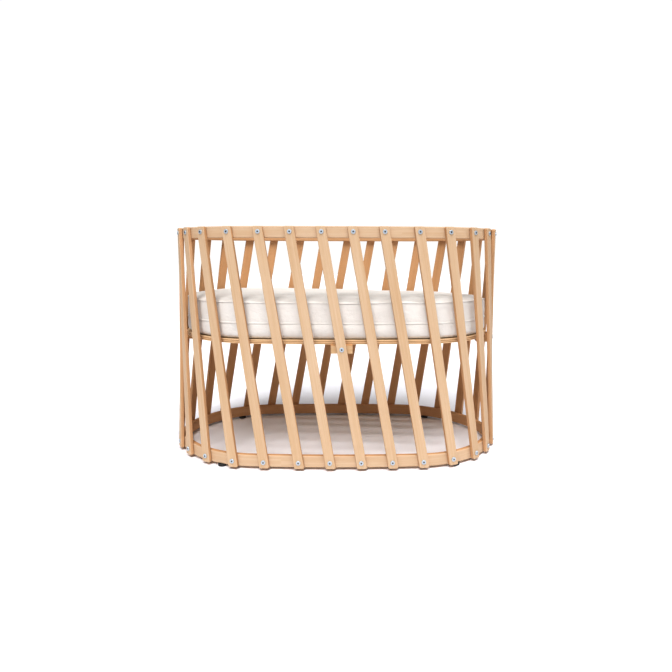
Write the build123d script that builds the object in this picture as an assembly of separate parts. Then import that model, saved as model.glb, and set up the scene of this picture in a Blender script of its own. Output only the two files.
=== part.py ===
from build123d import *
import math
import os

# Oval baby crib: two bent beech rails, 30 leaning slats bolted to their outside, a plywood
# mattress board on four cleats, a foam mattress in a zipped cover, and four glides.
# Millimetres. +Z is up, the origin is on the floor under the middle of the oval,
# +X runs along the crib's length and the front is at -Y.

# ---- driving dimensions ---------------------------------------------------------------

# Plan of the rails' outer face: an oval of tangent arcs, the same in all four quarters.
HALF_LENGTH = 520.0
HALF_WIDTH = 253.5
SIDE_RADIUS = 3900.0
SHOULDER_RADIUS = 300.0
TIP_RADIUS = 180.0

GLIDE_HEIGHT = 8.0
FRAME_HEIGHT = 709.5       # underside of the bottom rail to the top of the top rail
RAIL_HEIGHT = 34.5
RAIL_THICKNESS = 15.0
RAIL_EDGE_RADIUS = 3.0
DOWEL_RADIUS = 4.0         # in the square, glued joints between a rail's two bent halves
DOWEL_LENGTH = 40.0
DOWEL_CHAMFER = 0.8

SLAT_COUNT = 30
SLAT_WIDTH = 29.4
SLAT_THICKNESS = 11.6
SLAT_CORNER_RADIUS = 4.5
SLAT_EDGE_RADIUS = 2.2
TIP_STEPS = 5.5            # this many steps from slat to slat round each tip are shorter,
TIP_SAVING = 1.0           # and together take up this many pitches less
LEAN_STEPS = 1.286         # a slat's foot is this many steps further round than its head
PHASE_STEPS = 0.130        # how far the middle of slat 1 stands from the front centre
JOINT_EXTRA_PITCH = 0.1146 # the pitch is this much longer where it spans a rail's joint
HEAD_JOINT_STEP = 2        # the top rail's front joint, in steps from the front centre
FOOT_JOINT_STEP = -2       # the bottom rail's front joint
SLAT_GAP = 0.05            # between a slat and the rail's curved face, where they are closest

HEAD_BOLT_DROP = 16.0      # bolts below the top of the frame
FOOT_BOLT_RISE = 18.2      # bolts above the underside of the frame
BOLT_RADIUS = 3.0
BOLT_HEAD_RADIUS = 6.7
BOLT_HEAD_HEIGHT = 2.4
BOLT_HEAD_FILLET = 1.0
BOLT_SEAT_GAP = 0.2        # a slat's face is slightly twisted, so a flat head stands off it
BOLT_GRIP = 22.5           # shank length under the head
HEX_SOCKET_FLATS = 4.4
HEX_SOCKET_DEPTH = 1.8
INSERT_RADIUS = 4.5
INSERT_LENGTH = 12.0
INSERT_SINK = 0.2          # of the rails' inserts, below the rail's outer face
HOLE_CLEARANCE = 0.25
THREAD_CLEARANCE = 0.1
OVERCUT = 1.0              # how far a cutting tool runs past the wood

BOARD_UNDERSIDE = 361.5    # heights above the underside of the bottom rail
BOARD_THICKNESS = 12.0
BOARD_INSET = 17.5         # from the rails' outer face
VENT_RADIUS = 11.0
VENT_PITCH_X = 120.0
VENT_PITCH_Y = 90.0

CLEAT_WIDTH = 64.0
CLEAT_HEIGHT = 24.0
CLEAT_DEPTH = 46.0
CLEAT_GAP = 0.2
CLEAT_EDGE_RADIUS = 2.5
CLEAT_BOLT_HEIGHT = 351.0
CLEAT_BOLT_GRIP = 26.0
CLEAT_INSERT_SINK = 3.0    # the insert's inner end lies this far past the bolt's tip
CLEAT_SLATS = (0, 7, 15, 22)

MATTRESS_INSET = 17.0      # clear of the top rail, so that the mattress lifts out
MATTRESS_BASE = 374.5
MATTRESS_HEIGHT = 116.0
MATTRESS_EDGE_RADIUS = 9.0
COVER_THICKNESS = 2.0
CORE_GAP = 0.5
ZIPPER_HEIGHT = 422.0
ZIPPER_WIDTH = 7.0
SEAM_GAP = 0.1

GLIDE_RADIUS = 12.5
GLIDE_STATIONS_X = (344.0, 360.0)  # the nearer and the further of each opposite pair
GLIDE_EDGE_RADIUS = 2.5
SCREW_RADIUS = 2.0
SCREW_HEAD_RADIUS = 4.0
SCREW_HEAD_HEIGHT = 2.2
GLIDE_SCREW_LENGTH = 18.0
GLIDE_SCREW_RECESS = 1.5
BOARD_SCREW_LENGTH = 26.0
BOARD_SCREW_DEPTH = 29.0   # of the board screws, inwards from the slats

BASE = GLIDE_HEIGHT        # height of the underside of the bottom rail above the floor
TOP = BASE + FRAME_HEIGHT

UPWARDS = (Align.CENTER, Align.CENTER, Align.MIN)
DOWNWARDS = (Align.CENTER, Align.CENTER, Align.MAX)


# ---- the oval -------------------------------------------------------------------------

def solve_oval():
    """Arc centres and the angles, from the front's outward normal, where the arcs meet."""
    side_y = SIDE_RADIUS - HALF_WIDTH
    tip_x = HALF_LENGTH - TIP_RADIUS
    to_side = SIDE_RADIUS - SHOULDER_RADIUS
    to_tip = SHOULDER_RADIUS - TIP_RADIUS
    span = math.hypot(tip_x, side_y)
    turn = math.acos((to_side**2 + span**2 - to_tip**2) / (2 * to_side * span))
    side_angle = math.atan2(tip_x, side_y) - turn
    shoulder_x = to_side * math.sin(side_angle)
    shoulder_y = side_y - to_side * math.cos(side_angle)
    tip_angle = math.atan2(tip_x - shoulder_x, shoulder_y)
    return side_y, (shoulder_x, shoulder_y), tip_x, side_angle, tip_angle


SIDE_Y, SHOULDER_CENTRE, TIP_X, SIDE_ANGLE, TIP_ANGLE = solve_oval()
SIDE_LENGTH = SIDE_RADIUS * SIDE_ANGLE
SHOULDER_LENGTH = SHOULDER_RADIUS * (TIP_ANGLE - SIDE_ANGLE)
TIP_LENGTH = TIP_RADIUS * (math.pi / 2 - TIP_ANGLE)
QUARTER = SIDE_LENGTH + SHOULDER_LENGTH + TIP_LENGTH
PITCH = 4 * QUARTER / (SLAT_COUNT - 2 * TIP_SAVING + 2 * JOINT_EXTRA_PITCH)


def oval_face(offset):
    """The plan of the oval, grown outwards by offset."""
    side = math.degrees(SIDE_ANGLE)
    tip = math.degrees(TIP_ANGLE)
    sx, sy = SHOULDER_CENTRE
    arcs = [
        (0, SIDE_Y, SIDE_RADIUS, -90 - side, 2 * side),
        (sx, sy, SHOULDER_RADIUS, side - 90, tip - side),
        (TIP_X, 0, TIP_RADIUS, tip - 90, 180 - 2 * tip),
        (sx, -sy, SHOULDER_RADIUS, 90 - tip, tip - side),
        (0, -SIDE_Y, SIDE_RADIUS, 90 - side, 2 * side),
        (-sx, -sy, SHOULDER_RADIUS, 90 + side, tip - side),
        (-TIP_X, 0, TIP_RADIUS, 90 + tip, 180 - 2 * tip),
        (-sx, sy, SHOULDER_RADIUS, 270 - tip, tip - side),
    ]
    edges = [CenterArc((x, y), radius + offset, start, sweep) for x, y, radius, start, sweep in arcs]
    return make_face(Wire(edges))


def quarter_point(length):
    """Point and normal angle on the front right quarter, at this length from the front centre."""
    if length < SIDE_LENGTH:
        angle, centre, radius = length / SIDE_RADIUS, (0, SIDE_Y), SIDE_RADIUS
    elif length < SIDE_LENGTH + SHOULDER_LENGTH:
        angle = SIDE_ANGLE + (length - SIDE_LENGTH) / SHOULDER_RADIUS
        centre, radius = SHOULDER_CENTRE, SHOULDER_RADIUS
    else:
        angle = TIP_ANGLE + (length - SIDE_LENGTH - SHOULDER_LENGTH) / TIP_RADIUS
        centre, radius = (TIP_X, 0), TIP_RADIUS
    return centre[0] + radius * math.sin(angle), centre[1] - radius * math.cos(angle), angle


def oval_point(length):
    """Point and outward normal on the rails' outer face, counter-clockwise from the front centre."""
    length %= 4 * QUARTER
    half, rest = divmod(length, 2 * QUARTER)
    if rest <= QUARTER:
        x, y, angle = quarter_point(rest)
        normal = Vector(math.sin(angle), -math.cos(angle), 0)
    else:
        x, y, angle = quarter_point(2 * QUARTER - rest)
        y = -y
        normal = Vector(math.sin(angle), math.cos(angle), 0)
    sign = -1 if half else 1
    return Vector(x * sign, y * sign, 0), normal * sign


def outside_oval(point):
    """Distance of a plan point outside the rails' outer face, negative inside it."""
    x, y = abs(point.X), -abs(point.Y)
    side_angle = math.atan2(x, SIDE_Y - y)
    if side_angle < SIDE_ANGLE:
        return math.hypot(x, SIDE_Y - y) - SIDE_RADIUS
    dx, dy = x - SHOULDER_CENTRE[0], SHOULDER_CENTRE[1] - y
    if math.atan2(dx, dy) < TIP_ANGLE:
        return math.hypot(dx, dy) - SHOULDER_RADIUS
    return math.hypot(x - TIP_X, y) - TIP_RADIUS


# ---- slat stations --------------------------------------------------------------------

def slat_step(index):
    """Steps from the front centre to the middle of a slat, counted both ways round."""
    return (index if index < SLAT_COUNT // 2 else index - SLAT_COUNT) + PHASE_STEPS


def length_at(step, joint_step):
    """The length along the oval at a number of steps from the front centre."""
    steps_before_tip = (SLAT_COUNT / 2 - TIP_STEPS) / 2
    tip_share = min(max((abs(step) - steps_before_tip) / TIP_STEPS, 0), 1)
    pitches = step - math.copysign(tip_share * TIP_SAVING, step)
    half_turn = SLAT_COUNT // 2
    first_joint = joint_step % half_turn
    joints = (step > first_joint) - (step < first_joint - half_turn)
    return PITCH * (pitches + JOINT_EXTRA_PITCH * joints)


def head_length(index):
    """Where a slat's head bolt stands, as a length along the oval."""
    return length_at(slat_step(index) - LEAN_STEPS / 2, HEAD_JOINT_STEP)


def foot_length(index):
    """Where a slat's foot bolt stands, as a length along the oval."""
    return length_at(slat_step(index) + LEAN_STEPS / 2, FOOT_JOINT_STEP)


CLEAT_INSERT_END = CLEAT_BOLT_GRIP - SLAT_THICKNESS + CLEAT_INSERT_SINK
HEAD_BOLT_Z = TOP - HEAD_BOLT_DROP
FOOT_BOLT_Z = BASE + FOOT_BOLT_RISE


class SlatLine:
    """The straight middle line of a slat's inner face, and the turn of that face along it."""

    def __init__(self, index):
        self.head, self.head_normal = oval_point(head_length(index))
        self.foot, self.foot_normal = oval_point(foot_length(index))
        self.lean = math.atan((self.head - self.foot).length / (HEAD_BOLT_Z - FOOT_BOLT_Z))
        self.stand_off = 0.0
        self.stand_off = self.closest_stand_off()

    def at(self, z):
        """Plan point and normal of the inner face at a height."""
        share = (z - FOOT_BOLT_Z) / (HEAD_BOLT_Z - FOOT_BOLT_Z)
        point = self.foot + (self.head - self.foot) * share
        turn = self.foot_normal.get_signed_angle(self.head_normal, Vector(0, 0, 1))
        normal = self.foot_normal.rotate(Axis.Z, turn * min(max(share, 0), 1))
        return point + normal * self.stand_off, normal

    def closest_stand_off(self):
        """How far out the slat stands so that its flat face just clears both curved rails."""
        closest = 0.0
        for level in (BASE, BASE + RAIL_HEIGHT, TOP - RAIL_HEIGHT, TOP):
            point, normal = self.at(level)
            across = Vector(-normal.Y, normal.X, 0)
            for share in (-0.5, -0.25, 0, 0.25, 0.5):
                edge = point + across * (share * SLAT_WIDTH)
                closest = min(closest, outside_oval(edge))
        return SLAT_GAP - closest


SLAT_LINES = [SlatLine(index) for index in range(SLAT_COUNT)]


def outward_plane(point, normal, z):
    """A plane on the slat's inner face that looks outwards, with its x axis level."""
    return Plane(
        origin=(point.X, point.Y, z),
        x_dir=(-normal.Y, normal.X, 0),
        z_dir=(normal.X, normal.Y, 0),
    )


def bolt_plane(line, z):
    point, normal = line.at(z)
    return outward_plane(point, normal, z)


def level_section(line, z):
    """The slat cut level: longer across than its width, because it leans."""
    point, normal = line.at(z)
    centre = point + normal * (SLAT_THICKNESS / 2)
    plane = Plane(origin=(centre.X, centre.Y, z), x_dir=(-normal.Y, normal.X, 0), z_dir=(0, 0, 1))
    return (plane * Rectangle(SLAT_WIDTH / math.cos(line.lean), SLAT_THICKNESS)).face()


def stepped_hole(plane, radius, depth, back_radius=None, back_depth=0):
    """A round hole through a slat and inwards, wider at its inner end."""
    start = SLAT_THICKNESS + OVERCUT
    hole = plane.offset(start) * Cylinder(radius, start + depth, align=DOWNWARDS)
    if back_radius:
        hole += plane.offset(-depth) * Cylinder(back_radius, back_depth, align=UPWARDS)
    return hole


def bolt_hole(line, z, reach):
    """Clearance for a bolt and, at its inner end, for the threaded insert."""
    return stepped_hole(
        bolt_plane(line, z),
        BOLT_RADIUS + HOLE_CLEARANCE,
        reach + OVERCUT,
        INSERT_RADIUS + THREAD_CLEARANCE,
        INSERT_LENGTH + OVERCUT,
    )


def insert_pocket(line, z):
    """The blind pocket for a threaded insert in a rail, open to the slat."""
    depth = line.stand_off + INSERT_SINK + INSERT_LENGTH + THREAD_CLEARANCE
    pocket = Cylinder(INSERT_RADIUS + THREAD_CLEARANCE, depth, align=DOWNWARDS)
    return bolt_plane(line, z) * pocket


# ---- wood -----------------------------------------------------------------------------

def make_slat(index):
    line = SLAT_LINES[index]
    slat = loft([level_section(line, BASE), level_section(line, TOP)], ruled=True)
    end_corners = [edge for edge in slat.edges() if edge.length < SLAT_WIDTH / 2]
    slat = fillet(end_corners, SLAT_CORNER_RADIUS)
    wide_faces = sorted(slat.faces(), key=lambda face: face.area)[-2:]
    slat = fillet([edge for face in wide_faces for edge in face.edges()], SLAT_EDGE_RADIUS)
    levels = [HEAD_BOLT_Z, FOOT_BOLT_Z]
    if index in CLEAT_SLATS:
        levels.append(BASE + CLEAT_BOLT_HEIGHT)
    for z in levels:
        slat -= stepped_hole(bolt_plane(line, z), BOLT_RADIUS + HOLE_CLEARANCE, OVERCUT)
    return slat.solid()


def joint_plane(length, z):
    """The cut across the rail at a length along the oval, looking along the rail."""
    point, normal = oval_point(length)
    middle = point - normal * (RAIL_THICKNESS / 2)
    return Plane(
        origin=(middle.X, middle.Y, z),
        x_dir=(normal.X, normal.Y, 0),
        z_dir=(-normal.Y, normal.X, 0),
    )


def joint_lengths(length):
    """A rail's two joints stand opposite each other."""
    return length, length + 2 * QUARTER


def right_region(length):
    """Everything to the right of the two square joints of a rail."""
    point, normal = oval_point(length)
    near = [point + normal * SLAT_WIDTH, point - normal * SLAT_WIDTH]
    outline = [(near[0].X, near[0].Y), (near[1].X, near[1].Y)]
    outline += [(-x, -y) for x, y in reversed(outline)]
    outline += [(2 * HALF_LENGTH, HALF_LENGTH), (2 * HALF_LENGTH, -HALF_LENGTH)]
    return extrude(make_face(Polyline(outline, close=True)), TOP * 2)


def rim_edges(solid, bottom, top):
    """The edges that lie in a flat solid's lower and upper faces."""
    return [
        edge for edge in solid.edges()
        if min(abs(edge.center().Z - bottom), abs(edge.center().Z - top)) < 0.01
    ]


def make_rail(bottom, bolt_z, joint):
    """A bent rail as its right and left halves, bored for bolts, inserts and joint dowels."""
    level = Plane.XY.offset(bottom)
    ring = extrude(level * (oval_face(0) - oval_face(-RAIL_THICKNESS)), RAIL_HEIGHT)
    ring = fillet(rim_edges(ring, bottom, bottom + RAIL_HEIGHT), RAIL_EDGE_RADIUS)
    ring -= [insert_pocket(line, bolt_z) for line in SLAT_LINES]
    for length in joint_lengths(joint):
        plane = joint_plane(length, bottom + RAIL_HEIGHT / 2)
        ring -= plane * Cylinder(DOWEL_RADIUS + THREAD_CLEARANCE, DOWEL_LENGTH + 2 * OVERCUT)
    region = right_region(joint)
    return (ring & region).solid(), (ring - region).solid()


def make_dowels(bottom, joint):
    """A plain round dowel across each of a rail's two joints."""
    middle = bottom + RAIL_HEIGHT / 2
    dowel = Cylinder(DOWEL_RADIUS, DOWEL_LENGTH)
    dowel = chamfer(dowel.edges(), DOWEL_CHAMFER)
    return [joint_plane(length, middle) * dowel.solid() for length in joint_lengths(joint)]


def make_cleat(line):
    """A block behind a slat, bored for its bolt and insert and for the board's screw."""
    plane = bolt_plane(line, BASE + BOARD_UNDERSIDE - CLEAT_HEIGHT / 2)
    block = plane.offset(-CLEAT_GAP) * Box(CLEAT_WIDTH, CLEAT_HEIGHT, CLEAT_DEPTH, align=DOWNWARDS)
    inner = block.faces().sort_by(Axis(plane.origin, plane.z_dir))[0]
    block = fillet(inner.edges(), CLEAT_EDGE_RADIUS)
    block -= bolt_hole(line, BASE + CLEAT_BOLT_HEIGHT, CLEAT_INSERT_END)
    pilot = Cylinder(SCREW_RADIUS + THREAD_CLEARANCE, BOARD_SCREW_LENGTH + OVERCUT, align=DOWNWARDS)
    return (block - board_screw_plane(line) * pilot).solid()


def board_screw_plane(line):
    """Level plane on the board's top face, over the middle of a cleat."""
    point, normal = line.at(BASE + BOARD_UNDERSIDE)
    spot = point - normal * BOARD_SCREW_DEPTH
    return Plane(origin=(spot.X, spot.Y, BASE + BOARD_UNDERSIDE + BOARD_THICKNESS))


def make_board():
    """The plywood mattress board, with ventilation holes in staggered rows."""
    underside = BASE + BOARD_UNDERSIDE
    board = extrude(Plane.XY.offset(underside) * oval_face(-BOARD_INSET), BOARD_THICKNESS)
    vent = Cylinder(VENT_RADIUS, 4 * BOARD_THICKNESS)
    for row, columns in ((-1, 6), (0, 7), (1, 6)):
        for column in range(columns):
            x = (column - (columns - 1) / 2) * VENT_PITCH_X
            board -= Pos(x, row * VENT_PITCH_Y, underside) * vent
    for index in CLEAT_SLATS:
        board -= board_screw_plane(SLAT_LINES[index]) * countersunk(BOARD_SCREW_LENGTH, THREAD_CLEARANCE)
    return board.solid()


# ---- metal ----------------------------------------------------------------------------

def make_bolt(plane, grip):
    """A flat round head with a hexagon socket, seated on the slat's outer face."""
    head = Cylinder(BOLT_HEAD_RADIUS, BOLT_HEAD_HEIGHT, align=UPWARDS)
    head = fillet(head.edges().sort_by(Axis.Z)[-1], BOLT_HEAD_FILLET)
    shank = Cylinder(BOLT_RADIUS, grip, align=DOWNWARDS)
    socket = extrude(RegularPolygon(HEX_SOCKET_FLATS / 2, 6, major_radius=False), HEX_SOCKET_DEPTH)
    bolt = head + shank - Pos(0, 0, BOLT_HEAD_HEIGHT - HEX_SOCKET_DEPTH) * socket
    return plane.offset(SLAT_THICKNESS + BOLT_SEAT_GAP) * bolt.solid()


def make_insert(plane, outer_end):
    """A threaded sleeve round a bolt, from this depth behind the slat's inner face."""
    bore = Cylinder(BOLT_RADIUS + THREAD_CLEARANCE, INSERT_LENGTH)
    sleeve = Cylinder(INSERT_RADIUS, INSERT_LENGTH) - bore
    return plane.offset(-outer_end - INSERT_LENGTH / 2) * sleeve.solid()


def countersunk(length, clearance=0.0):
    """A wood screw, or with a clearance the hole for it, its head flush with z = 0."""
    radii = SCREW_RADIUS + clearance, SCREW_HEAD_RADIUS + clearance
    shank = Cylinder(radii[0], length, align=DOWNWARDS)
    return shank + Cone(*radii, SCREW_HEAD_HEIGHT, align=DOWNWARDS)


def make_screw(length):
    """A countersunk screw with a cross recess."""
    recess_width, recess_depth = 0.9, 1.2
    slot = Box(SCREW_HEAD_RADIUS, recess_width, recess_depth, align=DOWNWARDS)
    return (countersunk(length) - slot - Rot(0, 0, 90) * slot).solid()


# ---- glides ---------------------------------------------------------------------------

# The glides' screws point up, with their heads sunk in the glides' undersides.
UPTURNED = Pos(0, 0, GLIDE_SCREW_RECESS) * Rot(180, 0, 0)


def glide_spots():
    """Four points on the bottom rail's middle line; each is half a turn from its opposite."""
    spots = []
    for side, station in zip((-1, 1), GLIDE_STATIONS_X):
        low, high = 0.0, QUARTER
        while high - low > 0.01:
            middle = (low + high) / 2
            point, normal = oval_point(middle)
            inner = point - normal * (RAIL_THICKNESS / 2)
            low, high = (middle, high) if inner.X < station else (low, middle)
        spots.append((side * inner.X, inner.Y))
    return spots + [(-x, -y) for x, y in spots]


def make_glide():
    glide = Cylinder(GLIDE_RADIUS, GLIDE_HEIGHT, align=UPWARDS)
    glide = fillet(glide.edges().sort_by(Axis.Z)[0], GLIDE_EDGE_RADIUS)
    recess = Cylinder(SCREW_HEAD_RADIUS + HOLE_CLEARANCE, GLIDE_SCREW_RECESS, align=UPWARDS)
    return (glide - recess - UPTURNED * countersunk(GLIDE_SCREW_LENGTH, THREAD_CLEARANCE)).solid()


# ---- mattress -------------------------------------------------------------------------

def mattress_solid(inset, bottom, top, edge_radius):
    solid = extrude(Plane.XY.offset(bottom) * oval_face(-inset), top - bottom)
    return fillet(rim_edges(solid, bottom, top), edge_radius)


def make_mattress():
    """Foam core and the cover's upper part, zipper band and lower part."""
    bottom = BASE + MATTRESS_BASE
    top = bottom + MATTRESS_HEIGHT
    inner_inset = MATTRESS_INSET + COVER_THICKNESS
    inner_radius = MATTRESS_EDGE_RADIUS - COVER_THICKNESS
    outer = mattress_solid(MATTRESS_INSET, bottom, top, MATTRESS_EDGE_RADIUS)
    cavity = mattress_solid(inner_inset, bottom + COVER_THICKNESS, top - COVER_THICKNESS, inner_radius)
    cover = outer - cavity
    core = mattress_solid(
        inner_inset + CORE_GAP,
        bottom + COVER_THICKNESS + CORE_GAP,
        top - COVER_THICKNESS - CORE_GAP,
        inner_radius - CORE_GAP,
    )

    def slab(low, high):
        middle = (low + high) / 2
        return Pos(0, 0, middle) * Box(3 * HALF_LENGTH, 3 * HALF_WIDTH, high - low)

    zipper_low = BASE + ZIPPER_HEIGHT - ZIPPER_WIDTH / 2
    zipper_high = zipper_low + ZIPPER_WIDTH
    return {
        "mattress_core": core.solid(),
        "mattress_cover_top": (cover & slab(zipper_high + SEAM_GAP, top + 1)).solid(),
        "mattress_zipper": (cover & slab(zipper_low, zipper_high)).solid(),
        "mattress_cover_base": (cover & slab(bottom - 1, zipper_low - SEAM_GAP)).solid(),
    }


# ---- assembly -------------------------------------------------------------------------

def build_parts():
    head_planes = [bolt_plane(line, HEAD_BOLT_Z) for line in SLAT_LINES]
    foot_planes = [bolt_plane(line, FOOT_BOLT_Z) for line in SLAT_LINES]
    sinks = [line.stand_off + INSERT_SINK for line in SLAT_LINES]
    cleat_lines = [SLAT_LINES[index] for index in CLEAT_SLATS]
    cleat_planes = [bolt_plane(line, BASE + CLEAT_BOLT_HEIGHT) for line in cleat_lines]

    # The joints lie in the middle of the two wider pitches of each rail.
    head_joint = (head_length(HEAD_JOINT_STEP) + head_length(HEAD_JOINT_STEP + 1)) / 2
    foot_joint = (foot_length(FOOT_JOINT_STEP - 1) + foot_length(FOOT_JOINT_STEP)) / 2

    parts = {}
    top_rails = make_rail(TOP - RAIL_HEIGHT, HEAD_BOLT_Z, head_joint)
    parts["top_rail_right"], parts["top_rail_left"] = top_rails
    parts["bottom_rail_right"], parts["bottom_rail_left"] = make_rail(BASE, FOOT_BOLT_Z, foot_joint)
    parts["rail_dowels"] = make_dowels(TOP - RAIL_HEIGHT, head_joint) + make_dowels(BASE, foot_joint)
    for index in range(SLAT_COUNT):
        parts[f"slat_{index + 1:02d}"] = make_slat(index)
    for number, line in enumerate(cleat_lines, start=1):
        parts[f"cleat_{number}"] = make_cleat(line)
    parts["mattress_board"] = make_board()
    parts.update(make_mattress())

    parts["head_bolts"] = [make_bolt(plane, BOLT_GRIP) for plane in head_planes]
    parts["foot_bolts"] = [make_bolt(plane, BOLT_GRIP) for plane in foot_planes]
    parts["head_inserts"] = [make_insert(plane, sink) for plane, sink in zip(head_planes, sinks)]
    parts["foot_inserts"] = [make_insert(plane, sink) for plane, sink in zip(foot_planes, sinks)]
    parts["cleat_bolts"] = [make_bolt(plane, CLEAT_BOLT_GRIP) for plane in cleat_planes]
    cleat_sink = CLEAT_INSERT_END - INSERT_LENGTH
    parts["cleat_inserts"] = [make_insert(plane, cleat_sink) for plane in cleat_planes]
    board_screw = make_screw(BOARD_SCREW_LENGTH)
    parts["board_screws"] = [board_screw_plane(line) * board_screw for line in cleat_lines]
    for number, (x, y) in enumerate(glide_spots(), start=1):
        parts[f"glide_{number}"] = Pos(x, y, 0) * make_glide()
    glide_screw = make_screw(GLIDE_SCREW_LENGTH)
    parts["glide_screws"] = [Pos(x, y, 0) * UPTURNED * glide_screw for x, y in glide_spots()]
    screw_hole = UPTURNED * countersunk(GLIDE_SCREW_LENGTH + OVERCUT, THREAD_CLEARANCE)
    for rail in ("bottom_rail_right", "bottom_rail_left"):
        for x, y in glide_spots():
            parts[rail] = (parts[rail] - Pos(x, y, 0) * screw_hole).solid()
    return parts


def main():
    os.makedirs("parts", exist_ok=True)
    for name, shape in build_parts().items():
        if isinstance(shape, list):
            shape = Compound(children=shape)
        shape.label = name
        export_step(shape, f"parts/{name}.step")


if __name__ == "__main__":
    main()
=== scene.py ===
import math

import bmesh
import bpy
import numpy as np
from mathutils import Matrix, Vector


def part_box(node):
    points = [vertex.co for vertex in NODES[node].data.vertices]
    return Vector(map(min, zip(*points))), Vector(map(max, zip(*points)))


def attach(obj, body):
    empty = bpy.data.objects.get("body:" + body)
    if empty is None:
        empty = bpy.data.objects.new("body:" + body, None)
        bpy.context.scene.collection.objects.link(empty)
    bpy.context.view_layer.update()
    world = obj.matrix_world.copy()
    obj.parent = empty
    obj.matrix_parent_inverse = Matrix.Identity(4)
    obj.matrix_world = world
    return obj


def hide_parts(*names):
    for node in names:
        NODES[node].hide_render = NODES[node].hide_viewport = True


# The looks of the oval baby crib: oiled beech, plywood, plated bolts, and the mattress in
# its cotton cover. Metres, in the part's own frame: +Z up, front at -Y, floor at z = 0.

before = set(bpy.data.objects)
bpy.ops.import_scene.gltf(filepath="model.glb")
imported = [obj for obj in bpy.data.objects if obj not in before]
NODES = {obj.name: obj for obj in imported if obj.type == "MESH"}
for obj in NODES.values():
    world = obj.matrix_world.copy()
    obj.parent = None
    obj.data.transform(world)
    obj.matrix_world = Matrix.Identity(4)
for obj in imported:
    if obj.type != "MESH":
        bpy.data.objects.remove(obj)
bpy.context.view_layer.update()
MM = 0.001


# ---- camera ---------------------------------------------------------------------------

SENSOR_WIDTH = 36.0
FOCAL_LENGTH = 26.8714
CAMERA_PLACE = Vector((-0.0023, -1.7103, 0.6473))
CAMERA_TURN = -0.0077      # radians; the crib's right end stands a little further away
CAMERA_DIP = 0.0302
CAMERA_ROLL = 0.0031
FRAME_DROP = 0.10491       # how far the frame is shifted down, in picture widths


def make_camera():
    data = bpy.data.cameras.new("camera")
    data.sensor_width = SENSOR_WIDTH
    data.lens = FOCAL_LENGTH
    data.shift_y = -FRAME_DROP
    camera = bpy.data.objects.new("camera", data)
    bpy.context.scene.collection.objects.link(camera)
    turn = Matrix.Rotation(CAMERA_TURN, 4, "Z")
    tilt = Matrix.Rotation(math.pi / 2 - CAMERA_DIP, 4, "X")
    roll = Matrix.Rotation(CAMERA_ROLL, 4, "Z")
    camera.matrix_world = turn @ Matrix.Translation(CAMERA_PLACE) @ tilt @ roll
    bpy.context.scene.camera = camera


make_camera()


# ---- plan of the oval -----------------------------------------------------------------

class Oval:
    """Outline of the rails' outer face: side, shoulder and tip arcs, the same in each quarter."""

    def __init__(self, half_length, half_width, side_radius, shoulder_radius, tip_radius):
        self.side_y = side_radius - half_width
        self.tip_x = half_length - tip_radius
        to_side, to_tip = side_radius - shoulder_radius, shoulder_radius - tip_radius
        span = math.hypot(self.tip_x, self.side_y)
        turn = math.acos((to_side**2 + span**2 - to_tip**2) / (2 * to_side * span))
        self.side_angle = math.atan2(self.tip_x, self.side_y) - turn
        self.shoulder = (
            to_side * math.sin(self.side_angle),
            self.side_y - to_side * math.cos(self.side_angle),
        )
        self.tip_angle = math.atan2(self.tip_x - self.shoulder[0], self.shoulder[1])
        self.radii = (side_radius, shoulder_radius, tip_radius)
        self.lengths = (
            side_radius * self.side_angle,
            shoulder_radius * (self.tip_angle - self.side_angle),
            tip_radius * (math.pi / 2 - self.tip_angle),
        )
        self.quarter = sum(self.lengths)

    def point(self, length, outward=0.0):
        """Plan point and outward normal at a length, counter-clockwise from the front centre."""
        half, rest = divmod(length % (4 * self.quarter), 2 * self.quarter)
        mirrored = rest > self.quarter
        if mirrored:
            rest = 2 * self.quarter - rest
        side, shoulder, tip = self.radii
        if rest < self.lengths[0]:
            angle, centre, radius = rest / side, (0, self.side_y), side
        elif rest < self.lengths[0] + self.lengths[1]:
            angle = self.side_angle + (rest - self.lengths[0]) / shoulder
            centre, radius = self.shoulder, shoulder
        else:
            angle = self.tip_angle + (rest - self.lengths[0] - self.lengths[1]) / tip
            centre, radius = (self.tip_x, 0), tip
        x = centre[0] + (radius + outward) * math.sin(angle)
        y = centre[1] - (radius + outward) * math.cos(angle)
        normal = Vector((math.sin(angle), -math.cos(angle), 0))
        if mirrored:
            y, normal.y = -y, -normal.y
        sign = -1 if half else 1
        return Vector((x * sign, y * sign, 0)), normal * sign

    def locate(self, x, y):
        """For arrays of plan points: lengths from the front centre, and distances outside."""
        fold_x, fold_y = np.abs(x), -np.abs(y)    # into the front right quarter
        side, shoulder, tip = self.radii
        side_angle = np.arctan2(fold_x, self.side_y - fold_y)
        shoulder_x, shoulder_y = fold_x - self.shoulder[0], self.shoulder[1] - fold_y
        shoulder_angle = np.arctan2(shoulder_x, shoulder_y)
        tip_angle = np.arctan2(fold_x - self.tip_x, -fold_y)
        on_side = side_angle < self.side_angle
        on_tip = ~on_side & (shoulder_angle > self.tip_angle)
        length = self.lengths[0] + (shoulder_angle - self.side_angle) * shoulder
        length = np.where(on_side, side_angle * side, length)
        on_tip_length = self.lengths[0] + self.lengths[1] + (tip_angle - self.tip_angle) * tip
        length = np.where(on_tip, on_tip_length, length)
        outside = np.hypot(shoulder_x, shoulder_y) - shoulder
        outside = np.where(on_side, np.hypot(fold_x, self.side_y - fold_y) - side, outside)
        outside = np.where(on_tip, np.hypot(fold_x - self.tip_x, fold_y) - tip, outside)
        length = np.where(y > 0, 2 * self.quarter - length, length)
        length = np.where(x < 0, 4 * self.quarter - length, length)
        return length, outside


HALF_LENGTH, HALF_WIDTH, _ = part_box("top_rail_right")[1]
OVAL = Oval(HALF_LENGTH, half_width=0.2535, side_radius=3.9, shoulder_radius=0.3, tip_radius=0.18)


# ---- node materials -------------------------------------------------------------------

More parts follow.
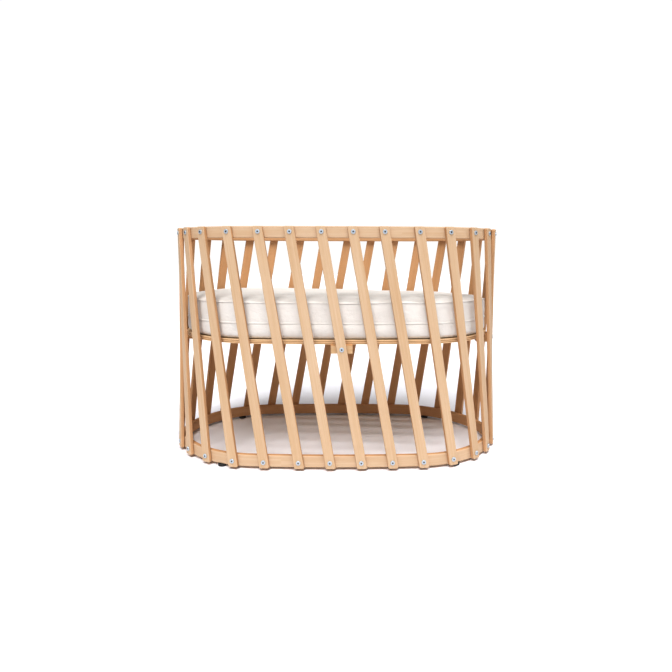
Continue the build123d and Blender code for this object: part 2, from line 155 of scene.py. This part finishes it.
class Shader:
    """A small helper that adds and joins the nodes of one material."""

    def __init__(self, name):
        self.material = bpy.data.materials.new(name)
        self.material.use_nodes = True
        self.nodes = self.material.node_tree.nodes
        self.links = self.material.node_tree.links
        self.surface = self.nodes["Principled BSDF"]

    def set(self, socket, value):
        if isinstance(value, bpy.types.NodeSocket):
            self.links.new(value, socket)
        else:
            socket.default_value = value

    def add(self, kind, out=0, settings=None, **inputs):
        node = self.nodes.new(kind)
        for name, value in (settings or {}).items():
            setattr(node, name, value)
        for name, value in inputs.items():
            self.set(node.inputs[name.replace("_", " ")], value)
        return node.outputs[out]

    def math(self, operation, a, b=0.0):
        node = self.nodes.new("ShaderNodeMath")
        node.operation = operation
        self.set(node.inputs[0], a)
        self.set(node.inputs[1], b)
        return node.outputs[0]

    def span(self, value, low, high, to_low=0.0, to_high=1.0):
        """Maps low to to_low and high to to_high, and holds the value there beyond them."""
        node = self.nodes.new("ShaderNodeMapRange")
        for index, number in enumerate((value, low, high, to_low, to_high)):
            self.set(node.inputs[index], number)
        return node.outputs[0]

    def mix(self, share, a, b, blend="MIX"):
        node = self.nodes.new("ShaderNodeMix")
        node.data_type = "RGBA"
        node.blend_type = blend
        self.set(node.inputs[0], share)
        self.set(node.inputs[6], a)
        self.set(node.inputs[7], b)
        return node.outputs[2]

    def place(self):
        """Object coordinates: metres in the part's frame."""
        return self.add("ShaderNodeTexCoord", 3)

    def split(self, vector):
        node = self.nodes.new("ShaderNodeSeparateXYZ")
        self.links.new(vector, node.inputs[0])
        return node.outputs

    def stretch(self, vector, x, y, z):
        node = self.nodes.new("ShaderNodeVectorMath")
        node.operation = "MULTIPLY"
        self.set(node.inputs[0], vector)
        node.inputs[1].default_value = (x, y, z)
        return node.outputs[0]

    def noise(self, vector, detail=2.0, roughness=0.5, scale=1.0):
        return self.add(
            "ShaderNodeTexNoise", Vector=vector, Scale=scale, Detail=detail, Roughness=roughness
        )

    def bump(self, height, strength, distance):
        node = self.nodes.new("ShaderNodeBump")
        node.inputs["Strength"].default_value = strength
        node.inputs["Distance"].default_value = distance
        self.links.new(height, node.inputs["Height"])
        self.links.new(node.outputs[0], self.surface.inputs["Normal"])

    def finish(self, **inputs):
        for name, value in inputs.items():
            self.set(self.surface.inputs[name.replace("_", " ")], value)
        return self.material


def colour(red, green, blue):
    return (red, green, blue, 1.0)


# Painted shade: a darker, redder tint multiplied into the wood's edges and the faces that look into
# the crib.
INWARD_SHADE_TINT = colour(0.96, 0.77, 0.60)
PLIES = 5
THREAD_PITCH = 1.1 * MM
CRUMPLE = 14.0             # height of the cotton's soft creases, in thread heights


def painted_inward_shade(s):
    """How much painted shade a wood face gets: 0 on faces that look out of the crib, 1 on edges and
    on faces that look in.
    """
    geometry = s.nodes.new("ShaderNodeNewGeometry")
    plan = s.stretch(geometry.outputs["Position"], HALF_WIDTH**2, HALF_LENGTH**2, 0.0)
    away = s.nodes.new("ShaderNodeVectorMath")
    away.operation = "NORMALIZE"
    s.links.new(plan, away.inputs[0])
    facing = s.nodes.new("ShaderNodeVectorMath")
    facing.operation = "DOT_PRODUCT"
    s.links.new(geometry.outputs["Normal"], facing.inputs[0])
    s.links.new(away.outputs[0], facing.inputs[1])
    return s.span(facing.outputs["Value"], 0.8, 0.0)


def wood_material(name, pale, deep, fleck):
    """Oiled beech, with painted shade: its edges and the faces that look into the crib are tinted
    darker and redder.

    The grain attribute holds metres along, across and through the board.
    """
    s = Shader(name)
    grain = s.add("ShaderNodeAttribute", 1, {"attribute_name": "grain"})
    waver = s.noise(s.stretch(grain, 3.0, 25.0, 25.0), detail=2.0)
    bands = s.noise(s.stretch(grain, 1.6, 190.0, 120.0), detail=3.0, roughness=0.6)
    fibres = s.noise(s.stretch(grain, 22.0, 1500.0, 1100.0), detail=3.0, roughness=0.65)
    cells = s.add(
        "ShaderNodeTexVoronoi",
        settings={"feature": "F1"},
        Vector=s.stretch(grain, 260.0, 1500.0, 1500.0),
        Scale=1.0,
    )
    flecks = s.span(cells, 0.10, 0.26, 1.0, 0.0)
    sparse = s.span(s.noise(s.stretch(grain, 40.0, 260.0, 200.0)), 0.42, 0.62)
    flecks = s.math("MULTIPLY", flecks, sparse)
    tone = s.math("ADD", s.math("MULTIPLY", bands, 0.55), s.math("MULTIPLY", waver, 0.45))
    base = s.mix(s.span(tone, 0.34, 0.66), pale, deep)
    base = s.mix(s.span(fibres, 0.40, 0.75, 0.0, 0.22), base, fleck)
    base = s.mix(s.math("MULTIPLY", flecks, 0.5), base, fleck)
    # painted shade: edges and faces looking into the crib are tinted darker and redder
    base = s.mix(painted_inward_shade(s), base, INWARD_SHADE_TINT, "MULTIPLY")
    height = s.math("ADD", fibres, s.math("MULTIPLY", flecks, -0.8))
    s.bump(height, 0.25, 0.00012)
    rough = s.span(fibres, 0.3, 0.7, 0.46, 0.60)
    return s.finish(Base_Color=base, Roughness=rough, Specular_IOR_Level=0.35)


def plywood_material():
    """Birch plywood: a pale face veneer, and five plies that show at the edge."""
    s = Shader("plywood")
    low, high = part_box("mattress_board")
    place = s.place()
    figure = s.noise(s.stretch(place, 3.0, 60.0, 60.0), detail=3.0)
    fibres = s.noise(s.stretch(place, 30.0, 1400.0, 900.0), detail=2.0)
    face = s.mix(s.span(figure, 0.35, 0.65), colour(0.78, 0.60, 0.40), colour(0.68, 0.48, 0.29))
    layer = s.span(s.split(place)[2], low[2], high[2], 0.0, PLIES / 2)
    wave = s.math("FRACT", layer)
    crossing = s.math("GREATER_THAN", wave, 0.5)
    edge = s.mix(crossing, colour(0.74, 0.53, 0.32), colour(0.36, 0.20, 0.10))
    normal = s.split(s.add("ShaderNodeNewGeometry", 1))
    level = s.math("GREATER_THAN", s.math("ABSOLUTE", normal[2]), 0.7)
    base = s.mix(level, edge, face)
    base = s.mix(s.span(fibres, 0.45, 0.8, 0.0, 0.35), base, colour(0.42, 0.26, 0.14))
    s.bump(fibres, 0.2, 0.0001)
    return s.finish(Base_Color=base, Roughness=0.55, Specular_IOR_Level=0.3)


def metal_material(name, tint, rough, bare=1.0):
    """Metal; the less bare, the more it shows its own colour instead of its surroundings."""
    s = Shader(name)
    specks = s.noise(s.place(), detail=4.0, scale=2600.0)
    s.bump(specks, 0.15, 0.00004)
    roughness = s.span(specks, 0.3, 0.7, rough * 0.75, rough * 1.3)
    return s.finish(Base_Color=tint, Metallic=bare, Roughness=roughness)


def socket_shade_material():
    """Painted shade: the inside of a bolt's hexagon socket, coloured near-black."""
    s = Shader("socket")
    specks = s.noise(s.place(), detail=2.0, scale=1800.0)
    base = s.mix(specks, colour(0.02, 0.02, 0.022), colour(0.05, 0.05, 0.055))
    return s.finish(Base_Color=base, Metallic=0.6, Roughness=0.55)


def glide_material():
    """Black plastic with a fine moulded texture."""
    s = Shader("glide_plastic")
    texture = s.noise(s.place(), detail=3.0, scale=1500.0)
    base = s.mix(texture, colour(0.012, 0.012, 0.012), colour(0.03, 0.03, 0.03))
    s.bump(texture, 0.3, 0.0001)
    return s.finish(Base_Color=base, Roughness=0.6)


def cotton_material(name, pale, deep):
    """Plain-woven cotton. Threads run along the two plan axes and up the sides."""
    s = Shader(name)
    place = s.place()
    thread = 2 * math.pi / THREAD_PITCH
    waves = [
        s.math("SINE", s.math("MULTIPLY", coordinate, thread)) for coordinate in s.split(place)
    ]
    weave = s.math("MULTIPLY", s.math("MULTIPLY", waves[0], waves[1]), waves[2])
    slubs = s.noise(s.stretch(place, 900.0, 300.0, 900.0), detail=3.0, roughness=0.6)
    mottle = s.noise(place, detail=3.0, scale=14.0)
    base = s.mix(s.span(mottle, 0.3, 0.7), pale, deep)
    base = s.mix(s.span(slubs, 0.45, 0.8, 0.0, 0.3), base, deep)
    crumple = s.noise(s.stretch(place, 55.0, 55.0, 85.0), detail=4.0, roughness=0.55)
    height = s.math("ADD", s.math("MULTIPLY", weave, 0.6), slubs)
    height = s.math("ADD", height, s.math("MULTIPLY", crumple, CRUMPLE))
    s.bump(height, 0.6, 0.0002)
    return s.finish(
        Base_Color=base,
        Roughness=0.92,
        Specular_IOR_Level=0.15,
        Sheen_Weight=0.25,
        Sheen_Roughness=0.5,
    )


# ---- wood -----------------------------------------------------------------------------

def coordinates(mesh):
    """The places of a mesh's vertices, as an array of rows."""
    values = np.empty(len(mesh.vertices) * 3)
    mesh.vertices.foreach_get("co", values)
    return values.reshape(-1, 3)


SEED_SHIFT = np.array([0.731, 0.377, 0.613])


def set_grain(node, along, across, through, seed):
    """Stores the board's own directions, shifted so that no two boards match."""
    shift = SEED_SHIFT * (seed + 1)
    values = np.stack([along, across, through], axis=1) + shift
    attribute = node.data.attributes.new("grain", "FLOAT_VECTOR", "POINT")
    attribute.data.foreach_set("vector", values.astype(np.float32).ravel())


END_CUT = 0.05 * MM        # vertices this near to a slat's end belong to it


def slat_grain(node, seed):
    """Along the slat, across its face and through it, following its lean and twist."""
    place = coordinates(node.data)
    ends = []
    for level in (place[:, 2].min(), place[:, 2].max()):
        cut = place[np.abs(place[:, 2] - level) < END_CUT][:, :2]
        middle = (cut.min(axis=0) + cut.max(axis=0)) / 2
        _, _, axes = np.linalg.svd(cut - cut.mean(axis=0))
        ends.append((level, middle, axes[0]))
    (low, low_middle, low_across), (high, high_middle, high_across) = ends
    if low_across @ high_across < 0:
        high_across = -high_across
    share = ((place[:, 2] - low) / (high - low))[:, None]
    middle = low_middle + (high_middle - low_middle) * share
    across = low_across + (high_across - low_across) * share
    across /= np.linalg.norm(across, axis=1)[:, None]
    through = np.stack([-across[:, 1], across[:, 0]], axis=1)
    offset = place[:, :2] - middle
    sideways, inwards = (offset * across).sum(axis=1), (offset * through).sum(axis=1)
    set_grain(node, place[:, 2], sideways, inwards, seed)


def rail_grain(node, seed, middle_length):
    """Around the oval, up the rail and through it, starting opposite the rail's middle."""
    place = coordinates(node.data)
    length, outside = OVAL.locate(place[:, 0], place[:, 1])
    whole = 4 * OVAL.quarter
    around = (length - middle_length + whole / 2) % whole
    set_grain(node, around, place[:, 2], outside, seed)


def block_grain(node, seed):
    """Along a straight piece's longer plan side, up it and through it."""
    place = coordinates(node.data)
    order = (0, 2, 1) if np.ptp(place[:, 0]) > np.ptp(place[:, 1]) else (1, 2, 0)
    set_grain(node, *(place[:, axis] for axis in order), seed)


def paint(node, *materials):
    node.data.materials.clear()
    for material in materials:
        node.data.materials.append(material)


SLAT_WOOD = wood_material(
    "slat_beech", colour(0.60, 0.452, 0.315), colour(0.53, 0.365, 0.222), colour(0.41, 0.245, 0.13)
)
RAIL_WOOD = wood_material(
    "rail_beech", colour(0.605, 0.462, 0.328), colour(0.54, 0.38, 0.243), colour(0.40, 0.238, 0.124)
)
CLEAT_WOOD = wood_material(
    "cleat_beech", colour(0.58, 0.41, 0.245), colour(0.51, 0.33, 0.175), colour(0.43, 0.26, 0.13)
)


FIRST_RAIL_SEED = 40
FIRST_BLOCK_SEED = 60


def dress_wood():
    slats = sorted(name for name in NODES if name.startswith("slat_"))
    rails = sorted(name for name in NODES if "_rail_" in name)
    blocks = [f"cleat_{number}" for number in range(1, 5)] + ["rail_dowels"]
    for seed, name in enumerate(slats):
        slat_grain(NODES[name], seed)
        paint(NODES[name], SLAT_WOOD)
    for seed, name in enumerate(rails, start=FIRST_RAIL_SEED):
        middle = OVAL.quarter if name.endswith("right") else 3 * OVAL.quarter
        rail_grain(NODES[name], seed, middle)
        paint(NODES[name], RAIL_WOOD)
    for seed, name in enumerate(blocks, start=FIRST_BLOCK_SEED):
        block_grain(NODES[name], seed)
        paint(NODES[name], CLEAT_WOOD)
    paint(NODES["mattress_board"], plywood_material())


dress_wood()


# ---- metal and plastic ----------------------------------------------------------------

SOCKET_RADIUS = 2.45 * MM
SOCKET_REACH = 2.0 * MM
BOLT_GAP = 40 * MM          # a gap this long around the oval parts one bolt from the next


def mark_sockets(node):
    """Gives the faces inside each bolt's hexagon socket the second material, the near-black painted
    shade.
    """
    mesh = node.data
    centres = np.empty(len(mesh.polygons) * 3)
    mesh.polygons.foreach_get("center", centres)
    centres = centres.reshape(-1, 3)
    length, outside = OVAL.locate(centres[:, 0], centres[:, 1])
    order = np.argsort(length)
    breaks = np.flatnonzero(np.diff(length[order]) > BOLT_GAP) + 1
    marks = np.zeros(len(mesh.polygons), dtype=np.int32)
    for group in np.split(order, breaks):
        plan = centres[group][:, :2]
        _, _, axes = np.linalg.svd(plan - plan.mean(axis=0))
        low, high = centres[group].min(axis=0), centres[group].max(axis=0)
        axis = np.array([*axes[0], 0.0])
        if (centres[group] @ axis)[np.argmax(outside[group])] < (low + high) @ axis / 2:
            axis = -axis
        along = centres[group] @ axis
        in_head = along > along.max() - SOCKET_REACH
        head = centres[group[in_head]]
        middle = (head.min(axis=0) + head.max(axis=0)) / 2
        offset = centres[group] - middle
        radial = np.linalg.norm(offset - np.outer(offset @ axis, axis), axis=1)
        marks[group[(radial < SOCKET_RADIUS) & in_head]] = 1
    mesh.polygons.foreach_set("material_index", marks)


def dress_hardware():
    bolt = metal_material("bolt_nickel", colour(0.50, 0.56, 0.62), 0.36, bare=0.55)
    # painted shade: the near-black socket material darkens the inside of each bolt's socket
    socket = socket_shade_material()
    for name in ("head_bolts", "foot_bolts", "cleat_bolts"):
        paint(NODES[name], bolt, socket)
        mark_sockets(NODES[name])
    brass = metal_material("insert_brass", colour(0.50, 0.40, 0.22), 0.4)
    for name in ("head_inserts", "foot_inserts", "cleat_inserts"):
        paint(NODES[name], brass)
    zinc = metal_material("screw_zinc", colour(0.66, 0.66, 0.67), 0.35)
    for name in ("board_screws", "glide_screws"):
        paint(NODES[name], zinc)
    plastic = glide_material()
    for number in range(1, 5):
        paint(NODES[f"glide_{number}"], plastic)


dress_hardware()


# ---- mattress -------------------------------------------------------------------------

MATTRESS_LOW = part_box("mattress_cover_base")[0]
MATTRESS_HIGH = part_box("mattress_cover_top")[1]
ZIPPER_LOW, ZIPPER_HIGH = (corner[2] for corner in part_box("mattress_zipper"))
MATTRESS_INSET = MATTRESS_HIGH[0] - HALF_LENGTH   # negative: inside the rails' outer face
EDGE_SEAM = MATTRESS_HIGH[2] - 8 * MM
ZIPPER_MIDDLE = (ZIPPER_LOW + ZIPPER_HIGH) / 2
AROUND = 420               # corners in each outline
RIM = 14 * MM              # the rounding of the lower and upper edges, seen in plan
CROWN = 6 * MM
SEAM_TUCK = 2.6 * MM       # the cover starts this far inside its CAD outline, and swells
SIDE_SWELL = 3.6 * MM
TOP_SWELL = 4.0 * MM
VOXEL = 5 * MM
SWELL_FRAMES = 20
UNDERSIDE_HOLD = 4 * MM    # how much of the cover the simulation holds still
SEAM_HOLD = 3.2 * MM
SIDE_DEPTH = 8 * MM

# The foam has settled: nothing along the front, and most at the right-hand back.
SLACK_SLOPE = 0.019
SLACK_DROP = 1.5 * MM
SLACK_START = -0.15
SLACK_DEPTH = 0.30
HILL_HEIGHT = 1.2 * MM


def settled(place):
    """How far the cover has sunk at each place of an array, from the zipper up."""
    x, y, z = place.T
    back = np.clip((y - SLACK_START) / SLACK_DEPTH, 0, 1)
    upper = np.clip((z - ZIPPER_HIGH) / (EDGE_SEAM - ZIPPER_HIGH), 0, 1)
    hills = HILL_HEIGHT * np.sin(x * 19 + 1.3) * np.sin(y * 23 + x * 7)
    return (SLACK_DROP + SLACK_SLOPE * x) * back * upper + hills * upper


def outline(outward):
    """A closed ring of plan points this far outside the rails' outer face."""
    step = 4 * OVAL.quarter / AROUND
    return [OVAL.point(index * step, outward)[0] for index in range(AROUND)]


SPINE_SHARE = 0.98         # keeps the rings' last points just inside the spine's ends


def mattress_profile():
    """The cover's rings from its underside up: inset, height, and share of the way inwards."""
    base, edge, top = MATTRESS_LOW[2], EDGE_SEAM, MATTRESS_HIGH[2]
    rings = [(RIM, base, share) for share in (1.0, 0.75, 0.5, 0.25, 0.0)]
    for inset, rise in ((9, 1), (5, 4), (1, 8)):
        rings.append((inset * MM, base + rise * MM, 0.0))
    for share in (0.12, 0.25, 0.5, 0.75, 1.0):
        rings.append((0.0, base + (edge - base) * share, 0.0))
    for inset, rise in ((1.5, 3), (6, 6.2)):
        rings.append((inset * MM, edge + rise * MM, 0.0))
    for share in (0.0, 0.15, 0.3, 0.5, 0.75, 1.0):
        rings.append((RIM, top + CROWN * math.sin(share * math.pi / 2), share))
    return rings


def mesh_data(name, mesh):
    """Turns a bmesh into mesh data, with its faces looking outwards."""
    bmesh.ops.recalc_face_normals(mesh, faces=mesh.faces)
    data = bpy.data.meshes.new(name)
    mesh.to_mesh(data)
    mesh.free()
    return data


def make_pad_mesh():
    """The cover's rings, joined by faces and drawn together on a line along the middle."""
    spine = HALF_LENGTH - HALF_WIDTH
    mesh = bmesh.new()
    loops = []
    for inset, height, share in mattress_profile():
        loop = []
        for point in outline(MATTRESS_INSET - SEAM_TUCK - inset):
            middle = Vector((max(-spine, min(spine, point.x)) * SPINE_SHARE, 0, 0))
            place = point.lerp(middle, share)
            loop.append(mesh.verts.new((place.x, place.y, height)))
        loops.append(loop)
    for lower, upper in zip(loops, loops[1:]):
        for index in range(AROUND):
            follow = (index + 1) % AROUND
            mesh.faces.new((lower[index], lower[follow], upper[follow], upper[index]))
    bmesh.ops.remove_doubles(mesh, verts=mesh.verts, dist=0.2 * MM)
    open_edges = [edge for edge in mesh.edges if edge.is_boundary]
    bmesh.ops.holes_fill(mesh, edges=open_edges, sides=AROUND)
    return mesh_data("mattress_pad", mesh)


def add_object(name, data):
    piece = bpy.data.objects.new(name, data)
    bpy.context.scene.collection.objects.link(piece)
    return piece


def apply_modifiers(piece):
    graph = bpy.context.evaluated_depsgraph_get()
    data = bpy.data.meshes.new_from_object(piece.evaluated_get(graph))
    piece.modifiers.clear()
    piece.data = data


def set_coordinates(mesh, place):
    mesh.vertices.foreach_set("co", place.ravel())
    mesh.update()


def swell(piece):
    """Inflates the cover as cloth, held at its seams and underside, then caps the movement."""
    rest = coordinates(piece.data)
    held = rest[:, 2] < MATTRESS_LOW[2] + UNDERSIDE_HOLD
    _, outside = OVAL.locate(rest[:, 0], rest[:, 1])
    on_side = outside > MATTRESS_INSET - SEAM_TUCK - SIDE_DEPTH
    for seam in (EDGE_SEAM, ZIPPER_MIDDLE):
        held |= on_side & (np.abs(rest[:, 2] - seam) < SEAM_HOLD)
    group = piece.vertex_groups.new(name="held")
    group.add([int(index) for index in np.flatnonzero(held)], 1.0, "REPLACE")
    cloth = piece.modifiers.new("cloth", "CLOTH")
    settings = cloth.settings
    settings.quality = 4
    settings.mass = 0.3
    settings.tension_stiffness = 12
    settings.compression_stiffness = 12
    settings.shear_stiffness = 6
    settings.bending_stiffness = 0.6
    settings.use_pressure = True
    settings.uniform_pressure_force = 4.0
    settings.vertex_group_mass = "held"
    settings.effector_weights.gravity = 0.0
    cloth.collision_settings.use_collision = False
    cloth.point_cache.frame_start = 1
    cloth.point_cache.frame_end = SWELL_FRAMES
    for number in range(1, SWELL_FRAMES + 1):
        bpy.context.scene.frame_set(number)
    apply_modifiers(piece)
    bpy.context.scene.frame_set(1)
    shift = coordinates(piece.data) - rest
    amount = np.linalg.norm(shift, axis=1)
    cap = np.where(on_side, SIDE_SWELL, TOP_SWELL)
    softened = cap * np.tanh(amount / cap)
    shift *= (softened / np.maximum(amount, 1e-9))[:, None]
    placed = rest + shift
    placed[:, 2] = np.maximum(placed[:, 2], MATTRESS_LOW[2])
    set_coordinates(piece.data, placed)


# Where the cover is gathered: height, how far above and below it shows, and depth.
GATHERS = (
    (EDGE_SEAM, 8 * MM, 0.8 * MM),
    (ZIPPER_MIDDLE, 9 * MM, 0.6 * MM),
    (MATTRESS_LOW[2] + 5 * MM, 7 * MM, 1.4 * MM),
)


DRAPE_DEPTH = 0.5 * MM
RIPPLE_START = 30 * MM     # gathers and drape begin this far inside the cover's outline
RIPPLE_FADE = 20 * MM


def pucker(piece):
    """Pulls the cover in along its seams, in small gathers that fade away from them.

    The waves are per metre along the cover's outline and up its side.
    """
    place = coordinates(piece.data)
    length, outside = OVAL.locate(place[:, 0], place[:, 1])
    height = place[:, 2]
    near_side = np.clip((outside - MATTRESS_INSET + RIPPLE_START) / RIPPLE_FADE, 0, 1)
    gather = np.zeros(len(place))
    ripple = 0.55 + 0.25 * np.sin(length * 210 + 3 * np.sin(length * 37))
    ripple += 0.2 * np.sin(length * 497)
    for seam, reach, depth in GATHERS:
        gather += depth * ripple * np.exp(-np.abs(height - seam) / reach)
    drape = np.sin(length * 31 + 2 * np.sin(length * 9))
    drape *= np.sin(height * 95 + 2 * np.sin(length * 13))
    gather += DRAPE_DEPTH * (1 + drape)
    normals = np.empty(len(place) * 3)
    piece.data.vertices.foreach_get("normal", normals)
    placed = place - normals.reshape(-1, 3) * (gather * near_side)[:, None]
    placed[:, 2] -= settled(place)
    placed[:, 2] = np.maximum(placed[:, 2], MATTRESS_LOW[2])
    set_coordinates(piece.data, placed)


def make_pad():
    """The padded cover, which stands for the core and both parts of the cover."""
    piece = add_object("mattress_pad", make_pad_mesh())
    remesh = piece.modifiers.new("remesh", "REMESH")
    remesh.mode = "VOXEL"
    remesh.voxel_size = VOXEL
    apply_modifiers(piece)
    swell(piece)
    subdivide = piece.modifiers.new("subdivide", "SUBSURF")
    subdivide.levels = subdivide.render_levels = 1
    apply_modifiers(piece)
    pucker(piece)
    piece.data.shade_smooth()
    paint(piece, COTTON)
    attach(piece, "mattress")
    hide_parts("mattress_core", "mattress_cover_top", "mattress_cover_base")


def follow_top(data):
    """Sinks a trim piece with the part of the cover that it is sewn to."""
    place = coordinates(data)
    place[:, 2] -= settled(place)
    set_coordinates(data, place)
    return data


def band_mesh(name, section):
    """A closed strip around the mattress; its section is a list of (outward, height) corners.

    Outward is measured from the cover's CAD outline.
    """
    mesh = bmesh.new()
    step = 4 * OVAL.quarter / AROUND
    corners = len(section)
    loops = []
    for index in range(AROUND):
        loop = []
        for outward, height in section:
            point = OVAL.point(index * step, MATTRESS_INSET + outward)[0]
            loop.append(mesh.verts.new((point.x, point.y, height)))
        loops.append(loop)
    for index in range(AROUND):
        here, there = loops[index], loops[(index + 1) % AROUND]
        for corner in range(corners):
            other = (corner + 1) % corners
            mesh.faces.new((here[corner], there[corner], there[other], here[other]))
    data = mesh_data(name, mesh)
    data.shade_smooth()
    return data


COTTON = cotton_material("cotton_cover", colour(0.74, 0.72, 0.69), colour(0.69, 0.665, 0.635))
TAPE = cotton_material("zipper_tape", colour(0.70, 0.68, 0.65), colour(0.64, 0.62, 0.59))


FLAP_FACE = -SEAM_TUCK + 0.6 * MM
CORD_MIDDLE = -SEAM_TUCK - 0.2 * MM
CORD_RADIUS = 1.0 * MM
CORD_SIDES = 10


def make_seams():
    """The zipper under its folded flap, and the corded seam round the upper edge."""
    flap = [
        (FLAP_FACE - 2.0 * MM, ZIPPER_LOW),
        (FLAP_FACE - 0.8 * MM, ZIPPER_LOW + 0.2 * MM),
        (FLAP_FACE, ZIPPER_LOW + 1.4 * MM),
        (FLAP_FACE, ZIPPER_HIGH - 2.4 * MM),
        (FLAP_FACE - 0.8 * MM, ZIPPER_HIGH - 0.4 * MM),
        (FLAP_FACE - 2.0 * MM, ZIPPER_HIGH),
    ]
    zipper = add_object("zipper_flap", band_mesh("zipper_flap", flap))
    paint(zipper, TAPE)
    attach(zipper, "mattress")
    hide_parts("mattress_zipper")

    ring = []
    for index in range(CORD_SIDES):
        angle = 2 * math.pi * index / CORD_SIDES
        outward = CORD_MIDDLE + CORD_RADIUS * math.cos(angle)
        ring.append((outward, EDGE_SEAM + CORD_RADIUS * math.sin(angle)))
    cord = add_object("edge_cord", follow_top(band_mesh("edge_cord", ring)))
    paint(cord, COTTON)
    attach(cord, "mattress")


SLIDER_LENGTH = 1.82 * OVAL.quarter    # around the oval from the front centre
SLIDER_BACK = -SEAM_TUCK + 0.4 * MM    # outwards from the cover's CAD outline
PULL_BACK = 1.3 * MM                   # outwards from the slider's back
PULL_SWING = -0.05
END_STEPS = 8


def add_plate(mesh, corners, depth, placing):
    """Adds a plate with these corners and this depth, placed by a matrix, its rims bevelled."""
    near = [mesh.verts.new(placing @ Vector((x, y, 0))) for x, y in corners]
    far = [mesh.verts.new(placing @ Vector((x, y, depth))) for x, y in corners]
    faces = [mesh.faces.new(near[::-1]), mesh.faces.new(far)]
    count = len(corners)
    for index in range(count):
        follow = (index + 1) % count
        mesh.faces.new((near[index], near[follow], far[follow], far[index]))
    rims = [edge for face in faces for edge in face.edges]
    bmesh.ops.bevel(mesh, geom=rims, offset=depth * 0.25, segments=2, affect="EDGES")


def rounded(width, low, high):
    """The corners of an upright shape of this width, from low to high, with half-round ends."""
    radius = width / 2
    points = []
    for centre, start in ((high - radius, 0.0), (low + radius, math.pi)):
        for index in range(END_STEPS + 1):
            angle = start + math.pi * index / END_STEPS
            points.append((radius * math.cos(angle), centre + radius * math.sin(angle)))
    return points


def make_slider():
    """The zipper's slider and its pull, at the back."""
    point, normal = OVAL.point(SLIDER_LENGTH, MATTRESS_INSET + SLIDER_BACK)
    across = Vector((-normal.y, normal.x, 0))
    turn = Matrix((across, Vector((0, 0, 1)), normal)).transposed().to_4x4()
    body = Matrix.Translation((point.x, point.y, ZIPPER_MIDDLE)) @ turn
    hang = Matrix.Translation((0, 0, PULL_BACK)) @ Matrix.Rotation(PULL_SWING, 4, "X")
    mesh = bmesh.new()
    add_plate(mesh, rounded(6.5 * MM, -4.5 * MM, 5 * MM), 1.5 * MM, body)
    add_plate(mesh, rounded(4.2 * MM, -19 * MM, 2 * MM), 0.9 * MM, body @ hang)
    slider = add_object("zipper_slider", mesh_data("zipper_slider", mesh))
    paint(slider, metal_material("slider_zinc", colour(0.62, 0.62, 0.63), 0.3))
    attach(slider, "mattress")


make_pad()
make_seams()
make_slider()


# ---- floor and light ------------------------------------------------------------------

FLOOR_REACH = 12.0


def make_floor():
    """A matt white floor, which stays out of the visual model."""
    data = bpy.data.meshes.new("floor")
    signs = ((-1, -1), (1, -1), (1, 1), (-1, 1))
    data.from_pydata([(x * FLOOR_REACH, y * FLOOR_REACH, 0) for x, y in signs], [], [(0, 1, 2, 3)])
    floor = add_object("floor", data)
    s = Shader("floor")
    mottle = s.noise(s.place(), detail=2.0, scale=3.0)
    base = s.mix(mottle, colour(0.88, 0.88, 0.92), colour(0.86, 0.86, 0.90))
    paint(floor, s.finish(Base_Color=base, Roughness=0.9, Specular_IOR_Level=0.1))


def make_sun(name, strength, angle, elevation, azimuth):
    """A soft distant light, in degrees: azimuth 0 is the front and a positive one is the right."""
    data = bpy.data.lights.new(name, "SUN")
    data.energy = strength
    data.angle = math.radians(angle)
    lamp = bpy.data.objects.new(name, data)
    bpy.context.scene.collection.objects.link(lamp)
    lamp.rotation_euler = (math.radians(90 - elevation), 0, math.radians(azimuth))


BACKDROP_STRENGTH = 1.05
SKY_LOW, SKY_HIGH = -0.2, 1.0          # heights on the sky's unit sphere
SKY_LOW_STRENGTH, SKY_HIGH_STRENGTH = 0.06, 0.30


def make_world():
    """A white backdrop for the camera; as a light, dim at the horizon and brighter above."""
    world = bpy.data.worlds.new("studio")
    bpy.context.scene.world = world
    world.use_nodes = True
    nodes, links = world.node_tree.nodes, world.node_tree.links
    background = nodes["Background"]
    background.inputs["Color"].default_value = colour(1.0, 0.99, 0.98)
    path = nodes.new("ShaderNodeLightPath")
    place = nodes.new("ShaderNodeTexCoord")
    split = nodes.new("ShaderNodeSeparateXYZ")
    links.new(place.outputs["Generated"], split.inputs[0])
    ramp = nodes.new("ShaderNodeMapRange")
    ends = (SKY_LOW, SKY_HIGH, SKY_LOW_STRENGTH, SKY_HIGH_STRENGTH)
    for index, number in enumerate(ends, start=1):
        ramp.inputs[index].default_value = number
    links.new(split.outputs[2], ramp.inputs[0])
    choose = nodes.new("ShaderNodeMix")
    choose.inputs[3].default_value = BACKDROP_STRENGTH
    links.new(path.outputs["Is Camera Ray"], choose.inputs[0])
    links.new(ramp.outputs[0], choose.inputs[2])
    links.new(choose.outputs[0], background.inputs["Strength"])


make_floor()
make_sun("key", strength=2.15, angle=24, elevation=50, azimuth=-18)
make_sun("fill", strength=0.36, angle=40, elevation=12, azimuth=-10)
make_sun("top", strength=2.2, angle=34, elevation=68, azimuth=15)
make_sun("streaks", strength=0.65, angle=2.5, elevation=26, azimuth=82)
make_world()
bpy.context.scene.view_settings.view_transform = "Standard"
bpy.context.scene.view_settings.gamma = 0.8
